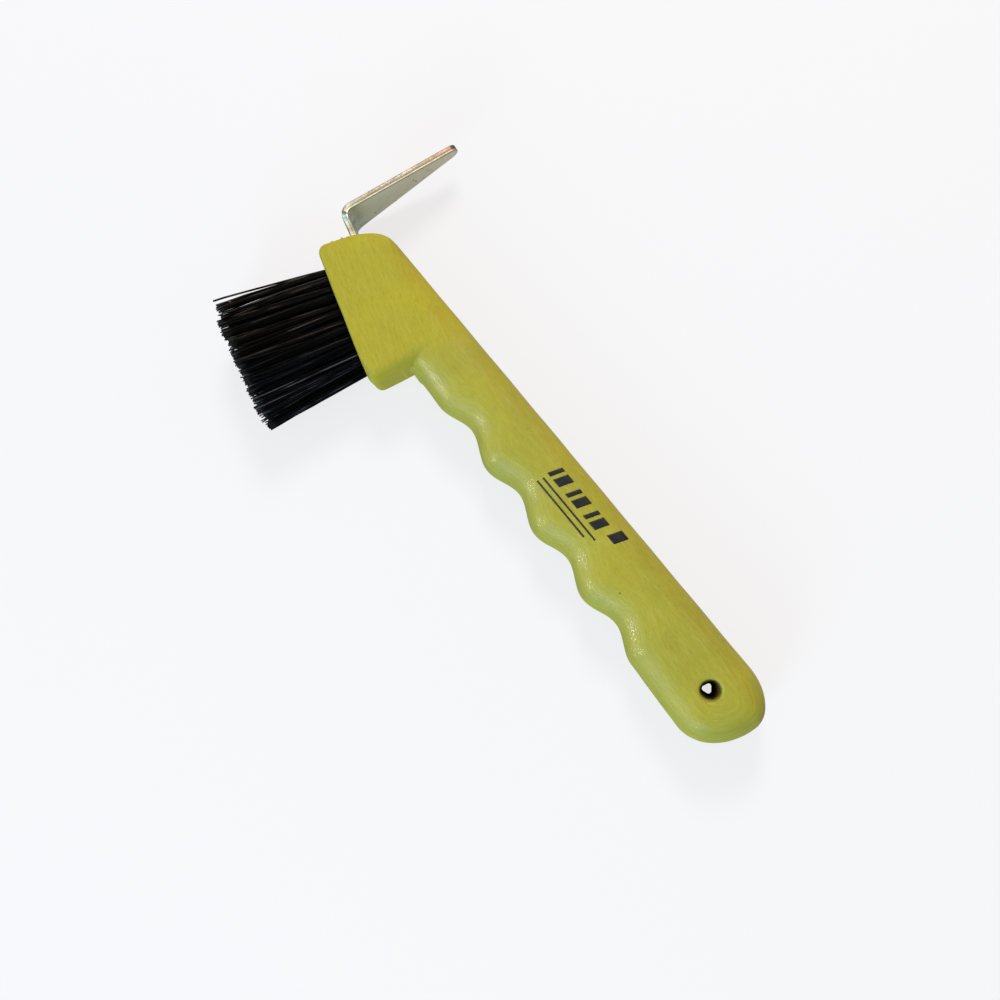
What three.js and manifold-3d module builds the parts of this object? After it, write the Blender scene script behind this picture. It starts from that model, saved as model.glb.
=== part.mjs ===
// Hoof pick with a stiff brush: a moulded plastic handle with a steel pick moulded into its head,
// and a block of bristle tufts, each folded over a flat wire anchor in its own blind hole.
//
// Frame, in millimetres: the tool lies on one broad side. +X runs along the grip towards the head,
// +Y from the straight back edge towards the brush, +Z up out of the upper broad side. The origin
// is on the lower broad side, half way along the handle, on the flat strip of the grip.
import * as THREE from 'three';
import { ParametricGeometry } from 'three/addons/geometries/ParametricGeometry.js';
import { mergeVertices } from 'three/addons/utils/BufferGeometryUtils.js';
import Module from 'manifold-3d';

const { cos, sin, tan, sqrt, max, min, PI } = Math;
const degrees = PI / 180;

// ---- Driving dimensions ----

const THICKNESS = 18;            // handle, broad side to broad side
const BACK_Y = -7.5;             // the straight back edge
const GAP = 0.3;                 // room left round a piece that sits in a pocket

// Grip
const NECK_X = 46;               // where the grip leaves the head
const NECK_WIDTH = 18.77;
const WIDTH_GAIN = 0.05;         // extra width for each millimetre towards the butt
const GROOVE_COUNT = 4;          // finger grooves in the front edge
const GROOVE_PITCH = 21.78;
const GROOVE_DEPTH = 3.2;
const FIRST_GROOVE_X = 22.05;
const BACK_ROUNDING = 5;         // how far the flat broad side stays in from the back edge
const FRONT_ROUNDING = 8;        // and from the front edge
const BUTT_X = -74.5;            // where the butt starts to round off
const BUTT_LENGTH = 13.1;
const BUTT_MIDDLE_Y = 1.3;       // level of the butt's furthest point
const BUTT_ROUNDING = 5;
const HANG_HOLE = { x: -72.2, y: 4.5, radius: 3, far_radius: 1.5 };   // it narrows downwards
const GRIP_STEPS = 64;           // sections along the straight part of the grip
const BUTT_STEPS = 9;            // and round the butt
const SIDE_STEPS = 12;           // straight pieces in each rounded side of a section

// Head
const GRIP_END_X = 80;           // the grip's body ends here, inside the head block
const HIDDEN_TAPER = 0.25;       // inside the head, the grip's front edge runs in this steeply
const END_ARC = { x: 60.25, y: 13.65, radius: 27.2 };   // slanted, slightly bulging end of the head
const HEAD_ROUNDING = 2.2;        // rounding of the head's edges, measured across
const HEAD_EDGE_HEIGHT = 4;      // and measured along Z
const HEAD_CORNER = 3.4;         // corner radius, seen from above
const HEAD_INSET = 3;            // the head block starts this far inside the back edge
const HEAD_START_X = 43.5;
const END_ARC_STEPS = 8;
const CORNER_STEPS = 6;
const BEVEL_STEPS = 4;

// Brush: its own frame has x along the face towards the head's end and y out of the face
const FACE = { x: 65.75, y: 17.23, slant: 17.7 * degrees };
const FACE_TO_END = 23;          // from the frame's origin to the head's slanted end
const FACE_TO_NECK = 18.3;       // and to the flat end above the grip
const NECK_END_LEAN = 0.1;       // sideways shift of that end for each millimetre into the head
const NECK_END_DEPTH = 17;       // how far that flat end runs down into the grip
const ROW_COUNT = 3;
const TUFTS_PER_ROW = 6;
const TUFT_PITCH = 4.95;
const ROW_PITCH = 4.7;
const OUTER_ROW_START = 15.1;    // first tuft of the two outer rows, nearest the head's end
const MIDDLE_ROW_START = OUTER_ROW_START - TUFT_PITCH / 2;
const BRUSH_MIDDLE = 1.35;       // middle of the whole block of tufts
const HOLE_RADIUS = 1.9;
const HOLE_DEPTH = 8.2;
const BRISTLE_LENGTH = 31.9;     // out of the face, half way along the brush
const TRIM_SLOPE = 0.08;         // the tips are cut this much longer towards the head's end
const TUFT_RADIUS = 1.6;         // inside its hole
const TUFT_ROOT_RADIUS = 1.9;    // just outside the face
const TUFT_ROOT_HEIGHT = 1.5;    // where it has spread to that root radius
const TUFT_TIP_RADIUS = 2.5;
const TUFT_TIP_CUT = { height: 0.6, inset: 0.5 };
const TUFT_SIDES = 10;
const FAN_ALONG = 0.335 * degrees;   // lean for each millimetre from the brush's middle
const FAN_ACROSS = 0.5 * degrees;
const ANCHOR = { thickness: 0.45, height: 1.8, length: 4.4 };
const ANCHOR_CENTRE = 2.4 - HOLE_DEPTH;   // level of the anchors below the face
const HOLE_SIDES = 12;

// Steel pick
const STEEL = 1.75;
const BEND = { x: 90.7, y: -1.66, radius: 3.1 };   // where the two mid-lines would cross
const BLADE_LENGTH = 36.1;       // from that crossing to the tip
const BLADE_LEAN = 6.5 * degrees;
const STEM_SLANT = 17 * degrees;
const TANG_LENGTH = 33;
const BLADE_WIDTH = 16.5;
const TIP_WIDTH = 3.6;
const TANG_WIDTH = 9;
const SHOULDER_LENGTH = 6;       // the strip narrows this far behind the crossing
const BEND_REACH = 2.7;          // the rounded bend ends within this distance of the crossing
const EDGE_BREAK = 0.3;          // small chamfer along the strip's edges
const TANG_HOLE = { from_bend: 21, radius: 2 };    // plastic flows through it and locks the tang
const STRIP_STEPS = 6;           // sections round the shoulders and round the bend
const TIP_STEPS = 5;
const PIN_SIDES = 20;            // of the tang's hole and the post in it

const CUT_PAST = 1;              // cutting bodies stand out past a surface by this much
const FACE_CUT_PAST = 4;         // and past the brush's face
const HANG_HOLE_SIDES = 32;

// ---- Solids ----

const wasm = await Module();
wasm.setup();

// Shares the vertices, drops triangles that have shrunk to nothing and makes a solid.
function solid(geometry) {
  geometry.deleteAttribute('normal');
  geometry.deleteAttribute('uv');
  const merged = mergeVertices(geometry.index ? geometry.toNonIndexed() : geometry, 1e-4);
  const index = merged.index.array;
  const kept = [];
  for (let i = 0; i < index.length; i += 3) {
    const [a, b, c] = [index[i], index[i + 1], index[i + 2]];
    if (a !== b && b !== c && c !== a) kept.push(a, b, c);
  }
  const mesh = new wasm.Mesh({
    numProp: 3,
    vertProperties: new Float32Array(merged.attributes.position.array),
    triVerts: new Uint32Array(kept),
  });
  return new wasm.Manifold(mesh);
}

function geometryOf(body) {
  const mesh = body.getMesh();
  const geometry = new THREE.BufferGeometry();
  geometry.setAttribute('position', new THREE.BufferAttribute(new Float32Array(mesh.vertProperties), 3));
  geometry.setIndex(new THREE.BufferAttribute(new Uint32Array(mesh.triVerts), 1));
  return geometry;
}

// A surface swept through closed sections: place(u, turn) gives a point, with u from 0 to 1 along
// the sweep and turn from 0 to 1 round the section. Both ends have to close to a point.
function sweep(place, steps, sides) {
  const point = new THREE.Vector3();
  const surface = (turn, u, target) => {
    place(u, turn % 1, point);
    target.copy(point);
  };
  return new ParametricGeometry(surface, sides, steps);
}

// Evenly spaced values from one number to another, both included.
function range(from, to, count) {
  return Array.from({ length: count + 1 }, (_, i) => from + (to - from) * i / count);
}

// ---- Handle ----

function frontY(x) {
  const width = NECK_WIDTH + (NECK_X - x) * WIDTH_GAIN;
  const steps = (FIRST_GROOVE_X - x) / GROOVE_PITCH;
  const grooved = steps > -0.5 && steps < GROOVE_COUNT - 0.5;
  const groove = grooved ? GROOVE_DEPTH * (0.5 + 0.5 * cos(2 * PI * steps)) : 0;
  return BACK_Y + width - groove;
}

// The grip's back and front edges and half its thickness at one station along it.
function gripSection(x) {
  let back = BACK_Y;
  let front = x < NECK_X ? frontY(x) : frontY(NECK_X) - HIDDEN_TAPER * (x - NECK_X);
  let half = THICKNESS / 2;
  if (x < BUTT_X) {
    const past = min(1, (BUTT_X - x) / BUTT_LENGTH);
    const shrink = sqrt(max(0, 1 - past * past));
    back = BUTT_MIDDLE_Y + (BACK_Y - BUTT_MIDDLE_Y) * shrink;
    front = BUTT_MIDDLE_Y + (frontY(BUTT_X) - BUTT_MIDDLE_Y) * shrink;
    const from_end = max(0, 1 - BUTT_LENGTH * (1 - past) / BUTT_ROUNDING);
    half *= sqrt(max(0, 1 - from_end * from_end));
  }
  const arc_reach = x - END_ARC.x;
  if (arc_reach > 0) {
    const arc_y = END_ARC.y - sqrt(max(0, END_ARC.radius ** 2 - arc_reach ** 2));
    back = max(back, arc_y);
  }
  return { back, front, half };
}

// Point on the section's outline: a half-ellipse at the front, a flat top, a half-ellipse at the
// back and a flat bottom. `place` counts the points round it, SIDE_STEPS + 1 for each half-ellipse.
function gripPoint(x, place, target) {
  const { back, front, half } = gripSection(x);
  const shrink = min(1, (front - back) / (BACK_ROUNDING + FRONT_ROUNDING + 1));
  const on_front = place <= SIDE_STEPS;
  const step = on_front ? place : place - SIDE_STEPS - 1;
  const angle = PI * (step / SIDE_STEPS - 0.5);
  const rounding = (on_front ? FRONT_ROUNDING : BACK_ROUNDING) * shrink;
  const out = rounding * (1 - cos(angle));
  const rise = half * sin(angle);
  if (on_front) target.set(x, front - out, rise);
  else target.set(x, back + out, -rise);
}

function gripBody() {
  const butt_end = BUTT_X - BUTT_LENGTH;
  const stations = [
    ...range(PI / 2, 0, BUTT_STEPS).map((angle) => BUTT_X - BUTT_LENGTH * sin(angle)),
    ...range(BUTT_X, GRIP_END_X, GRIP_STEPS).slice(1),
    GRIP_END_X,
  ];
  const last = stations.length - 1;
  const sides = 2 * (SIDE_STEPS + 1);
  const place = (u, turn, target) => {
    const step = Math.round(u * last);
    gripPoint(stations[step], Math.round(turn * sides) % sides, target);
    if (step === 0) target.set(butt_end, BUTT_MIDDLE_Y, 0);
    if (step === last) target.set(GRIP_END_X, gripSection(GRIP_END_X).back + 1, 0);
  };
  const body = sweep(place, last, sides);
  body.translate(0, 0, THICKNESS / 2);
  return solid(body);
}

// Points that round the corner at `corner`, from `start` on one side to `end` on the other.
function corner(start, corner_point, end) {
  return new THREE.QuadraticBezierCurve(start, corner_point, end).getPoints(CORNER_STEPS);
}

// A point given in the brush's frame, seen from above in the part's frame.
function fromFace(along, out) {
  const x = FACE.x + along * cos(FACE.slant) + out * sin(FACE.slant);
  const y = FACE.y - along * sin(FACE.slant) + out * cos(FACE.slant);
  return new THREE.Vector2(x, y);
}

function headBlock() {
  const back_y = BACK_Y + HEAD_INSET;
  const end_corner = fromFace(FACE_TO_END, 0);
  const first_angle = Math.asin((back_y - END_ARC.y) / END_ARC.radius);
  const last_angle = Math.asin((end_corner.y - HEAD_CORNER - END_ARC.y) / END_ARC.radius);
  const arc = range(first_angle, last_angle, END_ARC_STEPS).map((angle) => new THREE.Vector2(
    END_ARC.x + END_ARC.radius * cos(angle),
    END_ARC.y + END_ARC.radius * sin(angle),
  ));
  const face_start = fromFace(FACE_TO_END - HEAD_CORNER, 0);
  const face_end = fromFace(HEAD_CORNER - FACE_TO_NECK, 0);
  const neckEnd = (depth) => fromFace(NECK_END_LEAN * depth - FACE_TO_NECK, -depth);
  const neck_start = neckEnd(HEAD_CORNER);
  const outline = new THREE.Shape([
    new THREE.Vector2(HEAD_START_X, back_y),
    ...arc,
    ...corner(arc.at(-1), end_corner, face_start).slice(1),
    ...corner(face_end, fromFace(-FACE_TO_NECK, 0), neck_start),
    neckEnd(NECK_END_DEPTH),
  ]);
  const block = new THREE.ExtrudeGeometry(outline, {
    depth: THICKNESS - 2 * HEAD_EDGE_HEIGHT,
    bevelThickness: HEAD_EDGE_HEIGHT,
    bevelSize: HEAD_ROUNDING,
    bevelOffset: -HEAD_ROUNDING,
    bevelSegments: BEVEL_STEPS,
  });
  block.translate(0, 0, HEAD_EDGE_HEIGHT);
  return solid(block);
}

// ---- Steel pick ----

// Where the strip's mid-line is, at a signed distance from the bend: positive along the blade
// towards the tip, negative along the stem and the tang into the head.
function pickLine(distance) {
  const blade = new THREE.Vector2(-sin(BLADE_LEAN), -cos(BLADE_LEAN));
  const stem = new THREE.Vector2(-cos(STEM_SLANT), sin(STEM_SLANT));
  const corner = new THREE.Vector2(BEND.x, BEND.y);
  const opening = Math.acos(blade.dot(stem));
  const leg = BEND.radius / tan(opening / 2);
  if (distance >= leg) return { at: corner.addScaledVector(blade, distance), along: blade };
  if (distance <= -leg) return { at: corner.addScaledVector(stem, -distance), along: stem.negate() };
  const half_sweep = (PI - opening) / 2;
  const angle = distance / leg * half_sweep;
  const inward = blade.clone().add(stem).normalize();
  const forward = blade.clone().sub(stem).normalize();
  const centre = corner.addScaledVector(inward, BEND.radius / sin(opening / 2));
  const at = centre.addScaledVector(inward, -BEND.radius * cos(angle));
  at.addScaledVector(forward, BEND.radius * sin(angle));
  const along = forward.multiplyScalar(cos(angle)).addScaledVector(inward, sin(angle));
  return { at, along };
}

function pickHalfWidth(distance) {
  if (distance >= 0) {
    const taper = distance / BLADE_LENGTH;
    const half = BLADE_WIDTH / 2 + (TIP_WIDTH - BLADE_WIDTH) / 2 * taper;
    const from_tip = BLADE_LENGTH - distance;
    const tip_radius = TIP_WIDTH / 2;
    if (from_tip >= tip_radius) return half;
    return half * sqrt(max(0, 1 - (1 - from_tip / tip_radius) ** 2));
  }
  const narrowed = THREE.MathUtils.smoothstep(-distance, 0, SHOULDER_LENGTH);
  return (BLADE_WIDTH + (TANG_WIDTH - BLADE_WIDTH) * narrowed) / 2;
}

// The steel strip, or the same strip swollen by `extra` all round, which is the pocket for it.
function strip(extra) {
  const tip_start = BLADE_LENGTH - TIP_WIDTH / 2;
  const stations = [
    -TANG_LENGTH - extra,
    ...range(-SHOULDER_LENGTH, -BEND_REACH, STRIP_STEPS),
    ...range(-BEND_REACH, BEND_REACH, STRIP_STEPS).slice(1),
    ...range(0, PI / 2, TIP_STEPS).map((angle) => tip_start + (BLADE_LENGTH - tip_start) * sin(angle)),
  ];
  const last = stations.length - 1;
  const steps = last + 2;
  const sides = 8;
  const place = (u, turn, target) => {
    const step = Math.round(u * steps);
    const station = stations[min(last, max(0, step - 1))];
    const { at, along } = pickLine(station);
    if (step === 0 || step === steps) {
      target.set(at.x, at.y, 0);
      return;
    }
    const wide = pickHalfWidth(station) + extra;
    const thick = STEEL / 2 + extra;
    const cut = min(EDGE_BREAK, wide / 2);
    const section = [
      [wide, thick - cut], [wide, cut - thick], [wide - cut, -thick], [cut - wide, -thick],
      [-wide, cut - thick], [-wide, thick - cut], [cut - wide, thick], [wide - cut, thick],
    ];
    const [height, offset] = section[Math.round(turn * sides) % sides];
    target.set(at.x - along.y * offset, at.y + along.x * offset, height);
  };
  const body = sweep(place, steps, sides);
  body.translate(0, 0, THICKNESS / 2);
  return solid(body);
}

// A pin across the tang, which cuts its hole or fills it.
function tangPin(radius) {
  const { at } = pickLine(-TANG_HOLE.from_bend);
  const hole = new THREE.CylinderGeometry(radius, radius, STEEL + 2 * CUT_PAST, PIN_SIDES);
  const toward = new THREE.Vector3(sin(STEM_SLANT), cos(STEM_SLANT), 0);
  hole.applyQuaternion(new THREE.Quaternion().setFromUnitVectors(new THREE.Vector3(0, 1, 0), toward));
  hole.translate(at.x, at.y, THICKNESS / 2);
  return solid(hole);
}

// ---- Brush ----

// Every tuft's place on the face and its lean, in the brush's frame.
function tuftPlaces() {
  const places = [];
  for (let row = 0; row < ROW_COUNT; row += 1) {
    const start = row === 1 ? MIDDLE_ROW_START : OUTER_ROW_START;
    for (let i = 0; i < TUFTS_PER_ROW; i += 1) {
      const along = start - i * TUFT_PITCH;
      const across = (row - 1) * ROW_PITCH;
      const lean_along = tan((along - BRUSH_MIDDLE) * FAN_ALONG);
      const lean_across = tan(across * FAN_ACROSS);
      places.push({ row, number: i + 1, along, across, lean_along, lean_across });
    }
  }
  return places;
}

// The pocket that a wire anchor sits in, `room` wider than the anchor all round.
function anchorBox(room) {
  const box = new THREE.BoxGeometry(
    ANCHOR.thickness + 2 * room,
    ANCHOR.height + 2 * room,
    ANCHOR.length + 2 * room,
  );
  box.translate(0, ANCHOR_CENTRE, 0);
  return box;
}

// One tuft: a round bundle in its hole that fans out above the face and leans as it rises.
function tuft({ along, lean_along, lean_across }) {
  const length = BRISTLE_LENGTH + along * TRIM_SLOPE;
  const profile = [
    new THREE.Vector2(0, GAP - HOLE_DEPTH),
    new THREE.Vector2(TUFT_RADIUS, GAP - HOLE_DEPTH),
    new THREE.Vector2(TUFT_RADIUS, 0),
    new THREE.Vector2(TUFT_ROOT_RADIUS, TUFT_ROOT_HEIGHT),
    new THREE.Vector2(TUFT_TIP_RADIUS, length - TUFT_TIP_CUT.height),
    new THREE.Vector2(TUFT_TIP_RADIUS - TUFT_TIP_CUT.inset, length),
    new THREE.Vector2(0, length),
  ];
  const bundle = new THREE.LatheGeometry(profile, TUFT_SIDES);
  const position = bundle.attributes.position;
  for (let i = 0; i < position.count; i += 1) {
    const rise = max(0, position.getY(i));
    position.setX(i, position.getX(i) + rise * lean_along);
    position.setZ(i, position.getZ(i) + rise * lean_across);
  }
  return geometryOf(solid(bundle).subtract(solid(anchorBox(GAP))));
}

// ---- Assembly ----

const plastic = { color: 0xafa83d, roughness: 0.45, metalness: 0 };
const zinc = { color: 0xa9a994, roughness: 0.35, metalness: 1 };
const nylon = { color: 0x0d0c0b, roughness: 0.4, metalness: 0 };
const wire = { color: 0xc8bfa6, roughness: 0.4, metalness: 1 };

function piece(name, geometry, finish) {
  const mesh = new THREE.Mesh(geometry, new THREE.MeshStandardMaterial(finish));
  mesh.name = name;
  return mesh;
}

function brushMatrix() {
  const turn = new THREE.Matrix4().makeRotationZ(-FACE.slant);
  return turn.setPosition(FACE.x, FACE.y, THICKNESS / 2);
}

function handle() {
  let body = gripBody().add(headBlock());
  const place = brushMatrix();
  for (const { along, across } of tuftPlaces()) {
    const hole = new THREE.CylinderGeometry(HOLE_RADIUS, HOLE_RADIUS, HOLE_DEPTH + FACE_CUT_PAST, HOLE_SIDES);
    hole.translate(along, (FACE_CUT_PAST - HOLE_DEPTH) / 2, across);
    const pocket = anchorBox(GAP).translate(along, 0, across);
    body = body.subtract(solid(hole.applyMatrix4(place)));
    body = body.subtract(solid(pocket.applyMatrix4(place)));
  }
  body = body.subtract(strip(GAP).subtract(tangPin(TANG_HOLE.radius - GAP)));
  const widening = (HANG_HOLE.radius - HANG_HOLE.far_radius) / THICKNESS * CUT_PAST;
  const top_radius = HANG_HOLE.radius + widening;
  const far_radius = HANG_HOLE.far_radius - widening;
  const hang = new THREE.CylinderGeometry(top_radius, far_radius, THICKNESS + 2 * CUT_PAST, HANG_HOLE_SIDES);
  hang.rotateX(PI / 2);
  hang.translate(HANG_HOLE.x, HANG_HOLE.y, THICKNESS / 2);
  return geometryOf(body.subtract(solid(hang)));
}

const hoof_pick = new THREE.Group();
hoof_pick.add(piece('handle', handle(), plastic));
hoof_pick.add(piece('pick', geometryOf(strip(0).subtract(tangPin(TANG_HOLE.radius))), zinc));

const brush = new THREE.Group();
brush.position.set(FACE.x, FACE.y, THICKNESS / 2);
brush.rotation.z = -FACE.slant;
const row_names = ['lower', 'middle', 'upper'];
for (const place of tuftPlaces()) {
  const seat = new THREE.Group();
  seat.position.set(place.along, 0, place.across);
  const label = `${row_names[place.row]}_${place.number}`;
  seat.add(piece(`tuft_${label}`, tuft(place), nylon));
  seat.add(piece(`anchor_${label}`, anchorBox(0), wire));
  brush.add(seat);
}
hoof_pick.add(brush);

export default hoof_pick;
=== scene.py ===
"""Looks for a hoof pick with a stiff brush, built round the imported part.

Lengths are in millimetres until a mesh is made. The frame is the part's own: +X runs along the
grip towards the head, +Y towards the brush, +Z up from the broad side that the tool lies on.
"""

import math

import bpy
import numpy as np
from mathutils import Matrix, Vector


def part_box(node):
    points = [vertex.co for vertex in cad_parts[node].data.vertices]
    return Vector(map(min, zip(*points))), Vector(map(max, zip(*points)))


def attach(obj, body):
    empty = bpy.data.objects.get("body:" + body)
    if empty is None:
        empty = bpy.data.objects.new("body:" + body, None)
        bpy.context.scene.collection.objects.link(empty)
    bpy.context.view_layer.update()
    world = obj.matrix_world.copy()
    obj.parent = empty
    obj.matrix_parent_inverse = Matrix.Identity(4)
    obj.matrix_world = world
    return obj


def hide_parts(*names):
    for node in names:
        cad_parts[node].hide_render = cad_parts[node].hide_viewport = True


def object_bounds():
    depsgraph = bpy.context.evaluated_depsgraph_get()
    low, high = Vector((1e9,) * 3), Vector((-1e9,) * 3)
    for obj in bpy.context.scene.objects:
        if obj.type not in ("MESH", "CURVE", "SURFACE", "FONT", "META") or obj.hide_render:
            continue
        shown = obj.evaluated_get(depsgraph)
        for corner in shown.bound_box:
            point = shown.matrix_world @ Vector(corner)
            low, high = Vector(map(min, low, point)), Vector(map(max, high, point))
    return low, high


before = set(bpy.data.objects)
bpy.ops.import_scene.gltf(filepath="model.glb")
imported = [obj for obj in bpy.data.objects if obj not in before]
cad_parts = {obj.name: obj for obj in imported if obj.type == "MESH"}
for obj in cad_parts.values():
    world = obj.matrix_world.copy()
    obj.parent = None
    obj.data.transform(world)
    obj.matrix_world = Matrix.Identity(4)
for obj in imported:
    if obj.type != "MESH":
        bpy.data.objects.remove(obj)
cad_low, cad_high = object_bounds()

MM = 0.001
BODY = "root"
ROWS = ("lower", "middle", "upper")
TUFTS_PER_ROW = 6


def box_mm(node):
    low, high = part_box(node)
    return np.array(low) / MM, np.array(high) / MM


def middle_mm(node):
    low, high = box_mm(node)
    return (low + high) / 2


def vertices_mm(node):
    return np.array([vertex.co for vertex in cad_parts[node].data.vertices]) / MM


def unit(vector):
    return vector / np.linalg.norm(vector)


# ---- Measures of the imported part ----

HANDLE_LOW, HANDLE_HIGH = box_mm("handle")
BACK_Y = HANDLE_LOW[1]
MIDDLE_Z = (HANDLE_LOW[2] + HANDLE_HIGH[2]) / 2
HALF = (HANDLE_HIGH[2] - HANDLE_LOW[2]) / 2

BUTT_LENGTH = 13.1
BUTT_X = HANDLE_LOW[0] + BUTT_LENGTH
BUTT_MIDDLE_Y = 1.3
HANG_HOLE = (-72.2, 4.5)
HANG_HOLE_RADII = (1.2, 3.0)    # at the lower and the upper broad side

NECK_X = 46.0
NECK_WIDTH = 18.77
WIDTH_GAIN = 0.05               # for each millimetre from the neck towards the butt
HIDDEN_TAPER = 0.25             # for each millimetre of the grip inside the head
HIDDEN_END_X = 80.0
GROOVE_COUNT = 4
GROOVE_PITCH = 21.78
GROOVE_DEPTH = 3.2
FIRST_GROOVE_X = 22.05

END_ARC_CENTRE = (60.25, 13.65)
END_ARC_RADIUS = 27.2
GRIP_ARC_TURNS = (0.12, -0.44)  # where the grip's end arc starts, past its corner, and stops
BACK_CORNER_REACH = 3.2
HEAD_START_X = 43.5
HEAD_INSET = 3.0
HEAD_CORNER = 3.0
FACE_TO_END = 23.0
FACE_TO_NECK = 18.3
NECK_END_DEPTH = 20.0
NECK_END_LEAN = 0.1             # sideways for each millimetre into the head

HOLE_RADIUS = 1.95
HOLE_DEPTH = 8.2
FIRST_TUFT_ALONG = 15.1
ANCHOR_DEPTH = 5.8

STEEL = 1.75                    # thickness of the strip
BEND = np.array([90.7, -1.66])
BEND_RADIUS = 3.1
BLADE_LENGTH = 36.1
BLADE_LEAN = math.radians(6.5)
STEM_SLANT = math.radians(17)
TANG_LENGTH = 33.0
BLADE_WIDTH = 16.5
TIP_WIDTH = 3.6
TANG_WIDTH = 9.0
SHOULDER_LENGTH = 6.0

# The brush's own frame: along its face towards the head's end, and out of the face
ALONG = unit(middle_mm("anchor_lower_1") - middle_mm("anchor_lower_6"))
OUT = np.array([-ALONG[1], ALONG[0], 0.0])
FIRST_ANCHORS = (middle_mm("anchor_lower_1") + middle_mm("anchor_upper_1")) / 2
FACE_ORIGIN = FIRST_ANCHORS - ALONG * FIRST_TUFT_ALONG + OUT * ANCHOR_DEPTH


# ---- Outlines seen from above ----

def arc(centre, radius, first, last, count):
    angles = np.linspace(first, last, count)
    return np.array(centre) + radius * np.stack([np.cos(angles), np.sin(angles)], 1)


def straight(start, end, count):
    share = np.linspace(0, 1, count)[:, None]
    return np.array(start) * (1 - share) + np.array(end) * share


def rounded_corner(before, corner, after, count=12):
    t = np.linspace(0, 1, count)[:, None]
    before, corner, after = np.array(before), np.array(corner), np.array(after)
    return before * (1 - t) ** 2 + corner * 2 * t * (1 - t) + after * t ** 2


def from_face(along, out):
    return (FACE_ORIGIN + ALONG * along + OUT * out)[:2]


def front_edge(x):
    steps = (FIRST_GROOVE_X - x) / GROOVE_PITCH
    grooved = (steps > -0.5) & (steps < GROOVE_COUNT - 0.5)
    groove = GROOVE_DEPTH * (0.5 + 0.5 * np.cos(2 * np.pi * steps))
    return BACK_Y + NECK_WIDTH + (NECK_X - x) * WIDTH_GAIN - np.where(grooved, groove, 0)


def grip_outline():
    """The grip runs on inside the head up to the head's end."""
    meeting = math.asin((BACK_Y - END_ARC_CENTRE[1]) / END_ARC_RADIUS)
    corner = arc(END_ARC_CENTRE, END_ARC_RADIUS, meeting, meeting, 1)[0]
    past_corner, last = GRIP_ARC_TURNS
    end = arc(END_ARC_CENTRE, END_ARC_RADIUS, meeting + past_corner, last, 40)
    before_corner = corner - (BACK_CORNER_REACH, 0)
    hidden_end_y = front_edge(NECK_X) - HIDDEN_TAPER * (HIDDEN_END_X - NECK_X)
    x = np.linspace(NECK_X, BUTT_X, 330)
    turn = np.linspace(0, np.pi, 90)
    reach = np.where(turn < np.pi / 2, front_edge(BUTT_X) - BUTT_MIDDLE_Y, BUTT_MIDDLE_Y - BACK_Y)
    butt = np.stack([BUTT_X - BUTT_LENGTH * np.sin(turn), BUTT_MIDDLE_Y + reach * np.cos(turn)], 1)
    return np.concatenate([
        straight((BUTT_X, BACK_Y), before_corner, 3)[1:],
        rounded_corner(before_corner, corner, end[0])[1:],
        end[1:],
        [(HIDDEN_END_X, hidden_end_y)],
        np.stack([x, front_edge(x)], 1),
        butt[1:],
    ])


def head_outline():
    back_y = BACK_Y + HEAD_INSET
    end_corner = from_face(FACE_TO_END, 0)
    first = math.asin((back_y - END_ARC_CENTRE[1]) / END_ARC_RADIUS)
    last = math.asin((end_corner[1] - HEAD_CORNER - END_ARC_CENTRE[1]) / END_ARC_RADIUS)
    end = arc(END_ARC_CENTRE, END_ARC_RADIUS, first, last, 60)
    neck_corner = from_face(-FACE_TO_NECK, 0)
    before_neck = from_face(HEAD_CORNER - FACE_TO_NECK, 0)
    after_neck = from_face(NECK_END_LEAN * HEAD_CORNER - FACE_TO_NECK, -HEAD_CORNER)
    return np.concatenate([
        [(HEAD_START_X, back_y)],
        end,
        rounded_corner(end[-1], end_corner, from_face(FACE_TO_END - HEAD_CORNER, 0))[1:],
        rounded_corner(before_neck, neck_corner, after_neck),
        [from_face(NECK_END_LEAN * NECK_END_DEPTH - FACE_TO_NECK, -NECK_END_DEPTH)],
    ])


def signed_distance(points, outline):
    """Distance from each point to a closed outline, positive inside."""
    nearest = np.full(len(points), np.inf)
    inside = np.zeros(len(points), bool)
    for start, end in zip(outline, np.roll(outline, -1, axis=0)):
        side = end - start
        offset = points - start
        share = np.clip(offset @ side / (side @ side), 0, 1)
        nearest = np.minimum(nearest, ((offset - share[:, None] * side) ** 2).sum(1))
        beside = (start[1] > points[:, 1]) != (end[1] > points[:, 1])
        if beside.any():
            crossing = start[0] + (points[:, 1] - start[1]) * side[0] / side[1]
            inside ^= beside & (points[:, 0] < crossing)
    return np.where(inside, 1, -1) * np.sqrt(nearest)


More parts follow.
